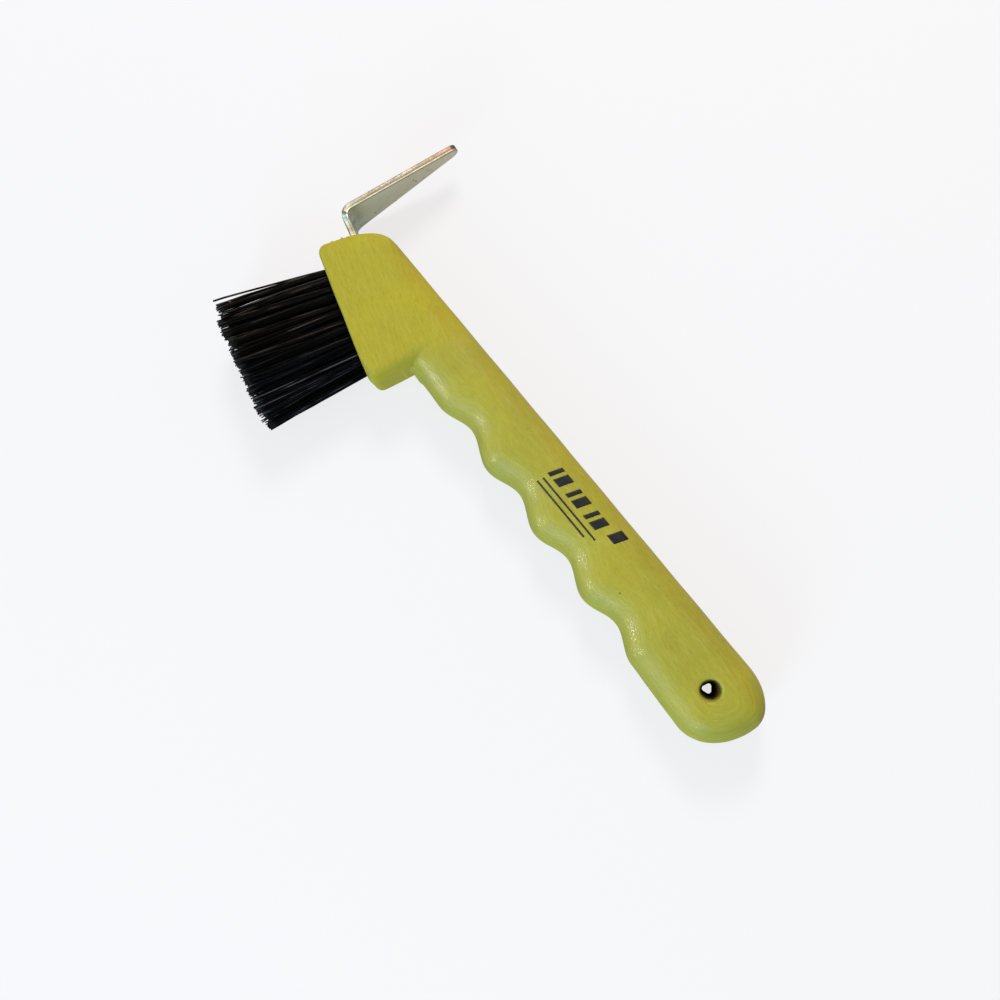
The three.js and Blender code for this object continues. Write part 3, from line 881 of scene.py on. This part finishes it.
class Shader:
    """A material's node tree, with short ways to add nodes to it."""

    def __init__(self, name):
        self.material = bpy.data.materials.new(name)
        self.material.use_nodes = True
        self.tree = self.material.node_tree
        self.surface = self.tree.nodes["Principled BSDF"]

    def connect(self, socket, value):
        if isinstance(value, bpy.types.NodeSocket):
            self.tree.links.new(value, socket)
        else:
            socket.default_value = value

    def add(self, kind, inputs, **settings):
        node = self.tree.nodes.new(kind)
        for name, value in settings.items():
            setattr(node, name, value)
        for key, value in inputs.items():
            self.connect(node.inputs[key], value)
        return node.outputs

    def attribute(self, name, output="Vector"):
        return self.add("ShaderNodeAttribute", {}, attribute_name=name)[output]

    def parts(self, vector):
        return self.add("ShaderNodeSeparateXYZ", {0: vector})

    def scaled(self, vector, factors):
        return self.add("ShaderNodeVectorMath", {0: vector, 1: factors}, operation="MULTIPLY")[0]

    def noise(self, vector, scale, detail=2.0, roughness=0.5):
        inputs = {"Vector": vector, "Scale": scale, "Detail": detail, "Roughness": roughness}
        return self.add("ShaderNodeTexNoise", inputs)[0]

    def dots(self, vector, scale, radius):
        """Small dots scattered through space, where `radius` is in the vector's own units."""
        distance = self.add("ShaderNodeTexVoronoi", {"Vector": vector, "Scale": scale})["Distance"]
        return self.step(distance, radius * scale, 0.5 * radius * scale)

    def math(self, operation, a, b=0.0):
        return self.add("ShaderNodeMath", {0: a, 1: b}, operation=operation)[0]

    def times(self, a, b):
        return self.math("MULTIPLY", a, b)

    def step(self, value, low, high, to_low=0.0, to_high=1.0):
        """A smooth step from `to_low`, where the value is `low`, to `to_high`."""
        ends = {"From Min": low, "From Max": high, "To Min": to_low, "To Max": to_high}
        inputs = {"Value": value, **ends}
        return self.add("ShaderNodeMapRange", inputs, interpolation_type="SMOOTHSTEP")[0]

    def mix(self, factor, a, b):
        return self.add("ShaderNodeMix", {0: factor, 6: a, 7: b}, data_type="RGBA")[2]

    def over(self, colour, layer, pattern, low, high, most=1.0):
        """Lays one colour over another, up to the share `most`, where the pattern nears `high`."""
        return self.mix(self.step(pattern, low, high, 0.0, most), colour, layer)

    def blend(self, factor, a, b):
        """Mixes two plain values, where mix() is for colours."""
        return self.add("ShaderNodeMix", {0: factor, 2: a, 3: b})[0]

    def bump(self, height, strength, distance, before=None):
        inputs = {"Height": height, "Strength": strength, "Distance": distance * MM}
        if before is not None:
            inputs["Normal"] = before
        return self.add("ShaderNodeBump", inputs)[0]

    def finish(self, **inputs):
        """Sets the surface's own inputs, by short names."""
        names = {
            "colour": "Base Color",
            "roughness": "Roughness",
            "metallic": "Metallic",
            "normal": "Normal",
            "specular": "Specular IOR Level",
            "coat": "Coat Weight",
            "coat_roughness": "Coat Roughness",
        }
        for key, value in inputs.items():
            self.connect(self.surface.inputs[names[key]], value)
        return self.material


def drawn_out(shader, factors, detail):
    """Noise stretched along the way the plastic flowed, which turns at the head."""
    flows = [shader.attribute(name) for name in ("grip_flow", "head_flow")]
    on_grip, on_head = [shader.noise(shader.scaled(f, factors), 1.0, detail, 0.65) for f in flows]
    return shader.blend(shader.attribute("on_head", "Fac"), on_grip, on_head)


def moulded_plastic():
    """Olive plastic with flow streaks, fine grain and nicks. The head is painted warmer and
    lighter than the grip, standing in for the light and sheen on it, and is duller; painted shade
    darkens the hang hole.
    """
    shader = Shader("olive_plastic")
    grip_tones = srgb(165, 153, 32), srgb(157, 148, 38)
    # Painted light: the head's tones are lighter and bluer than the grip's, standing in for the
    # light and sheen on the head.
    head_tones_with_painted_light = srgb(176, 160, 46), srgb(170, 155, 50)
    pale_streak = srgb(186, 177, 72)
    dark_streak = srgb(138, 129, 32)
    dark_grain = srgb(140, 133, 36)
    dirt = srgb(66, 56, 16)
    deep_shade = srgb(16, 14, 4)

    on_head = shader.attribute("on_head", "Fac")
    in_bore = shader.attribute("in_bore", "Fac")
    place = shader.scaled(shader.add("ShaderNodeTexCoord", {})["Object"], (1 / MM, 1 / MM, 1 / MM))
    streaks = drawn_out(shader, (0.16, 1.3, 1.3), 4.0)
    fine_streaks = drawn_out(shader, (0.45, 2.2, 2.2), 3.0)
    clouds = shader.noise(place, 0.045, 3.0)
    leather = drawn_out(shader, (1.0, 1.8, 1.8), 3.0)
    grain = shader.noise(place, 3.2, 2.0, 0.6)
    dents = shader.noise(place, 0.4, 3.0, 0.55)
    nicks = shader.dots(place, 0.13, 0.34)

    cloudy = shader.step(clouds, 0.35, 0.65)
    colour = shader.mix(on_head, shader.mix(cloudy, *grip_tones), shader.mix(cloudy, *head_tones_with_painted_light))
    colour = shader.over(colour, pale_streak, streaks, 0.40, 0.72, 0.35)
    colour = shader.over(colour, dark_streak, fine_streaks, 0.50, 0.70, 0.38)
    colour = shader.over(colour, dark_grain, grain, 0.50, 0.68, 0.30)
    colour = shader.mix(shader.times(nicks, 0.7), colour, dirt)
    # Painted shade: the colour darkens to near black deep in the hang hole.
    colour = shader.mix(in_bore, colour, deep_shade)

    roughness = shader.step(streaks, 0.25, 0.75, 0.50, 0.62)
    normal = shader.bump(dents, 0.35, 0.30)
    normal = shader.bump(streaks, 0.55, 0.14, normal)
    normal = shader.bump(fine_streaks, 0.65, 0.08, normal)
    normal = shader.bump(leather, 0.65, 0.14, normal)
    normal = shader.bump(grain, 0.3, 0.03, normal)
    shader.connect(shader.surface.inputs["Coat Normal"], normal)
    dull_in_bore = shader.step(in_bore, 0.0, 0.3)
    dull = shader.math("MAXIMUM", dull_in_bore, shader.times(on_head, 0.75))
    gloss = shader.step(dull, 0.0, 1.0, 0.31, 0.0)
    coat = shader.step(dull, 0.0, 1.0, 0.08, 0.0)
    shader.finish(specular=gloss, coat=coat, coat_roughness=0.11)
    return shader.finish(colour=colour, roughness=roughness, normal=normal)


def plated_steel():
    """Pale plating on the broad faces. The cut edges are dark along the blade, with a painted
    highlight on the inner corner and painted warm light towards the tip; along the stem they are
    painted bright, as a reflection, with a painted dark reflection line and a painted shade on the
    outer corner."""
    shader = Shader("plated_steel")
    face_near_bend, face_near_tip = srgb(212, 218, 192), srgb(218, 210, 180)
    pale_blotch, green_blotch = srgb(222, 217, 190), srgb(150, 164, 146)
    teal_film = srgb(124, 152, 138)
    pit = srgb(60, 56, 44)
    shaded_rim = srgb(96, 92, 72)
    rough_edge = srgb(100, 92, 80), srgb(132, 123, 107)
    painted_warm_edge = srgb(132, 96, 74)
    green_edge = srgb(140, 146, 124)
    painted_stem_highlight = srgb(250, 246, 230)
    inner_corner_highlight = srgb(226, 216, 184)
    dark_reflection_line = srgb(74, 62, 44)
    outer_corner_shade = srgb(62, 50, 36)
    tip_edge = srgb(84, 80, 72)

    strip = shader.attribute("strip")
    parts = shader.parts(strip)
    reach, through = parts["X"], parts["Z"]
    half_width = shader.attribute("half_width", "Fac")
    from_upper_edge = shader.math("SUBTRACT", half_width, parts["Y"])
    from_lower_edge = shader.math("ADD", half_width, parts["Y"])
    on_edge = shader.step(shader.math("MINIMUM", from_upper_edge, from_lower_edge), 0.16, 0.04)
    blotches = shader.noise(strip, 0.35, 4.0, 0.6)
    fine = shader.noise(strip, 2.6, 3.0, 0.6)
    lines = shader.noise(shader.scaled(strip, (0.06, 3.5, 3.5)), 1.0, 3.0, 0.6)
    cuts = shader.noise(shader.scaled(strip, (5.0, 0.5, 1.2)), 1.0, 2.0, 0.6)
    specks = shader.dots(strip, 0.36, 0.40)

    face = shader.over(face_near_bend, face_near_tip, reach, 4.0, 33.0)
    face = shader.over(face, pale_blotch, blotches, 0.42, 0.70, 0.6)
    face = shader.over(face, green_blotch, blotches, 0.46, 0.28, 0.6)
    filmed = shader.times(shader.step(reach, 7.0, 1.0), shader.step(blotches, 0.3, 0.6))
    face = shader.mix(shader.times(filmed, 0.6), face, teal_film)
    face = shader.mix(shader.times(specks, 0.8), face, pit)
    face = shader.over(face, shaded_rim, from_upper_edge, 0.75, 0.35, 0.7)

    on_stem = shader.step(reach, -1.6, -3.0)
    edge = shader.mix(shader.step(cuts, 0.35, 0.65), *rough_edge)
    # Painted warm light: the blade's edge turns orange-brown towards the tip.
    edge = shader.over(edge, painted_warm_edge, reach, 18.0, 34.0, 0.6)
    edge = shader.over(edge, green_edge, reach, 7.0, 1.0, 0.7)
    # Painted highlight: the stem's cut edge is painted near white, standing in for the reflection
    # of a bright lamp.
    edge = shader.mix(on_stem, edge, painted_stem_highlight)
    # Painted highlight along the inner corner of each cut edge.
    edge = shader.over(edge, inner_corner_highlight, through, -0.34, -0.56)
    # Painted dark reflection: a broken dark line along the stem's edge.
    from_dark_reflection = shader.math("ABSOLUTE", shader.math("ADD", through, 0.30))
    broken = shader.step(cuts, 0.40, 0.55, 0.15, 0.75)
    on_dark_reflection = shader.times(shader.times(shader.step(from_dark_reflection, 0.16, 0.06), broken), on_stem)
    edge = shader.mix(on_dark_reflection, edge, dark_reflection_line)
    # Painted shade on the outer corner of the cut edges, stronger along the stem.
    corner_depth = shader.step(on_stem, 0, 1, 0.5, 0.85)
    at_corner = shader.times(shader.step(through, 0.42, 0.70), corner_depth)
    edge = shader.mix(at_corner, edge, outer_corner_shade)
    edge = shader.over(edge, tip_edge, reach, 34.8, 35.8, 0.6)
    colour = shader.mix(on_edge, face, edge)
    # The stem's edge is made less metallic so that its painted highlight shows.
    metallic = shader.step(shader.times(on_edge, on_stem), 0.0, 1.0, 0.88, 0.25)

    roughness = shader.step(blotches, 0.3, 0.7, 0.34, 0.50)
    normal = shader.bump(lines, 0.4, 0.04)
    normal = shader.bump(fine, 0.4, 0.03, normal)
    normal = shader.bump(blotches, 0.3, 0.12, normal)
    return shader.finish(colour=colour, roughness=roughness, metallic=metallic, normal=normal)


def black_nylon():
    """Near-black bristles with painted highlight lines on some strands: warm near the head's end,
    cool below.
    """
    shader = Shader("black_nylon")
    parts = shader.parts(shader.attribute("strand"))
    strand, rise, along = parts["X"], parts["Y"], parts["Z"]
    apart, stretched = shader.times(strand, 400.0), shader.times(rise, 0.09)
    place = shader.add("ShaderNodeCombineXYZ", {0: apart, 1: stretched})[0]
    drift = shader.noise(place, 1.0, 2.0)
    # Painted highlights: broken lines of lighter colour on some strands.
    painted_highlight_mask = shader.times(shader.step(strand, 0.66, 0.90), shader.step(drift, 0.40, 0.58))
    # Painted warm and cool light: the highlights and the dark strands are warmer and lighter near
    # the head's end, cooler below.
    warm_light_share = shader.step(along, 50.0, 62.0)
    painted_highlight = shader.mix(warm_light_share, srgb(60, 60, 68), srgb(58, 46, 36))
    dark = shader.mix(warm_light_share, srgb(2, 2, 3), srgb(9, 7, 5))
    colour = shader.mix(painted_highlight_mask, dark, painted_highlight)
    roughness = shader.step(drift, 0.3, 0.7, 0.36, 0.50)
    gloss = shader.step(painted_highlight_mask, 0.0, 1.0, 0.05, 0.20)
    return shader.finish(colour=colour, roughness=roughness, specular=gloss)


def drawn_wire():
    """Pale brass wire with fine lines along it."""
    shader = Shader("drawn_wire")
    place = shader.add("ShaderNodeTexCoord", {})["Object"]
    lines = shader.noise(shader.scaled(place, (4000.0, 4000.0, 300.0)), 1.0, 2.0)
    colour = shader.mix(shader.step(lines, 0.3, 0.7), srgb(176, 166, 140), srgb(208, 198, 172))
    roughness = shader.step(lines, 0.3, 0.7, 0.3, 0.45)
    normal = shader.bump(lines, 0.2, 0.02)
    return shader.finish(colour=colour, roughness=roughness, metallic=1.0, normal=normal)


def printed_ink():
    """Worn black ink that lets specks of the plastic through."""
    shader = Shader("printed_ink")
    place = shader.add("ShaderNodeTexCoord", {})["Object"]
    wear = shader.noise(place, 2200.0, 3.0, 0.7)
    cover = shader.noise(place, 500.0, 2.0)
    colour = shader.mix(shader.step(cover, 0.3, 0.7), srgb(14, 13, 9), srgb(28, 26, 18))
    colour = shader.over(colour, srgb(120, 114, 50), wear, 0.66, 0.76, 0.45)
    normal = shader.bump(wear, 0.2, 0.02)
    return shader.finish(colour=colour, roughness=0.5, normal=normal, specular=0.3)


FLOOR_GLOW = 0.762              # as the camera sees it
FLOOR_GLOW_ON_PART = 0.38       # and as it lights the part, so that the part keeps its colours
FLOOR_GLOW_COLOUR = (1.0, 0.984, 0.991, 1.0)
FLOOR_LOW = (0.15, 0.15, 0.15, 1.0)
FLOOR_HIGH = (0.16, 0.16, 0.16, 1.0)


def pale_floor():
    """A grey floor that glows nearly white to the camera and still takes a soft shadow."""
    shader = Shader("pale_floor")
    place = shader.add("ShaderNodeTexCoord", {})["Object"]
    clouds = shader.noise(place, 3.0, 2.0)
    colour = shader.mix(clouds, FLOOR_LOW, FLOOR_HIGH)
    seen = shader.add("ShaderNodeLightPath", {})["Is Camera Ray"]
    glow = shader.step(seen, 0.0, 1.0, FLOOR_GLOW_ON_PART, FLOOR_GLOW)
    shader.connect(shader.surface.inputs["Emission Color"], FLOOR_GLOW_COLOUR)
    shader.connect(shader.surface.inputs["Emission Strength"], glow)
    return shader.finish(colour=colour, roughness=0.9, specular=0.0)


# ---- Studio ----

FLOOR_REACH = 4.0
SKY_STRENGTH = 0.45
CAMERA_PLACE = Vector((-47.9, 13.5, 409.0)) * MM
CAMERA_TARGET = Vector((2.46, 15.36, 9.0)) * MM
CAMERA_TURN = math.radians(-39.25)      # from +X to what points up in the picture
CAMERA_LENS = 53.4
CAMERA_SENSOR = 36.0


def build_floor():
    mesh = bpy.data.meshes.new("floor")
    signs = ((-1, -1), (1, -1), (1, 1), (-1, 1))
    corners = [(x * FLOOR_REACH, y * FLOOR_REACH, 0) for x, y in signs]
    mesh.from_pydata(corners, [], [(0, 1, 2, 3)])
    mesh.materials.append(pale_floor())
    floor = bpy.data.objects.new("floor", mesh)
    bpy.context.scene.collection.objects.link(floor)


def add_light(name, offset, size, power, colour=(1, 1, 1), only_glints=False):
    """A round lamp that faces the part's middle. `offset` is in metres from there."""
    target = (cad_low + cad_high) / 2
    place = target + Vector(offset)
    light = bpy.data.lights.new(name, "AREA")
    light.shape = "DISK"
    light.size = size
    light.energy = power
    light.color = colour
    lamp = bpy.data.objects.new(name, light)
    lamp.location = place
    lamp.rotation_mode = "QUATERNION"
    lamp.rotation_quaternion = (target - place).to_track_quat("-Z", "Y")
    lamp.visible_diffuse = not only_glints
    bpy.context.scene.collection.objects.link(lamp)


def build_lights():
    world = bpy.data.worlds.new("studio")
    world.use_nodes = True
    background = world.node_tree.nodes["Background"]
    background.inputs["Color"].default_value = (1.0, 1.0, 1.0, 1.0)
    background.inputs["Strength"].default_value = SKY_STRENGTH
    bpy.context.scene.world = world
    add_light("key", (0.70, -0.64, 0.80), size=0.40, power=11.4, colour=(1.0, 0.97, 0.94))
    add_light("overhead", (0.36, -0.06, 0.80), size=0.50, power=0.15)
    add_light("cool_side", (-0.35, 0.75, 0.35), size=0.45, power=7.9, colour=(0.46, 0.77, 1.0))
    add_light("glint", (0.20, 0.70, 0.30), size=0.05, power=6.0, only_glints=True)
    add_light("stem_glint", (-0.60, 0.27, 0.52), size=0.10, power=0.6, only_glints=True)


def build_camera():
    upward = Vector((math.cos(CAMERA_TURN), math.sin(CAMERA_TURN), 0))
    forward = (CAMERA_TARGET - CAMERA_PLACE).normalized()
    right = forward.cross(upward).normalized()
    up = right.cross(forward)
    turn = Matrix((right, up, -forward)).transposed().to_4x4()
    camera = bpy.data.objects.new("camera", bpy.data.cameras.new("camera"))
    camera.data.lens = CAMERA_LENS
    camera.data.sensor_width = CAMERA_SENSOR
    camera.data.clip_start = 0.01
    camera.matrix_world = Matrix.Translation(CAMERA_PLACE) @ turn
    bpy.context.scene.collection.objects.link(camera)
    bpy.context.scene.camera = camera
    bpy.context.scene.view_settings.view_transform = "Standard"


def build_all():
    rng = np.random.default_rng(seed=7)
    build_handle(moulded_plastic())
    build_pick(plated_steel())
    nylon, wire = black_nylon(), drawn_wire()
    for row in ROWS:
        for i in range(TUFTS_PER_ROW):
            label = f"{row}_{i + 1}"
            loose_count = 2 if label == "upper_1" else 0
            build_tuft(label, nylon, i == 0, loose_count, rng)
            build_staple(label, wire)
    build_print(printed_ink())
    build_floor()
    build_lights()
    build_camera()


build_all()
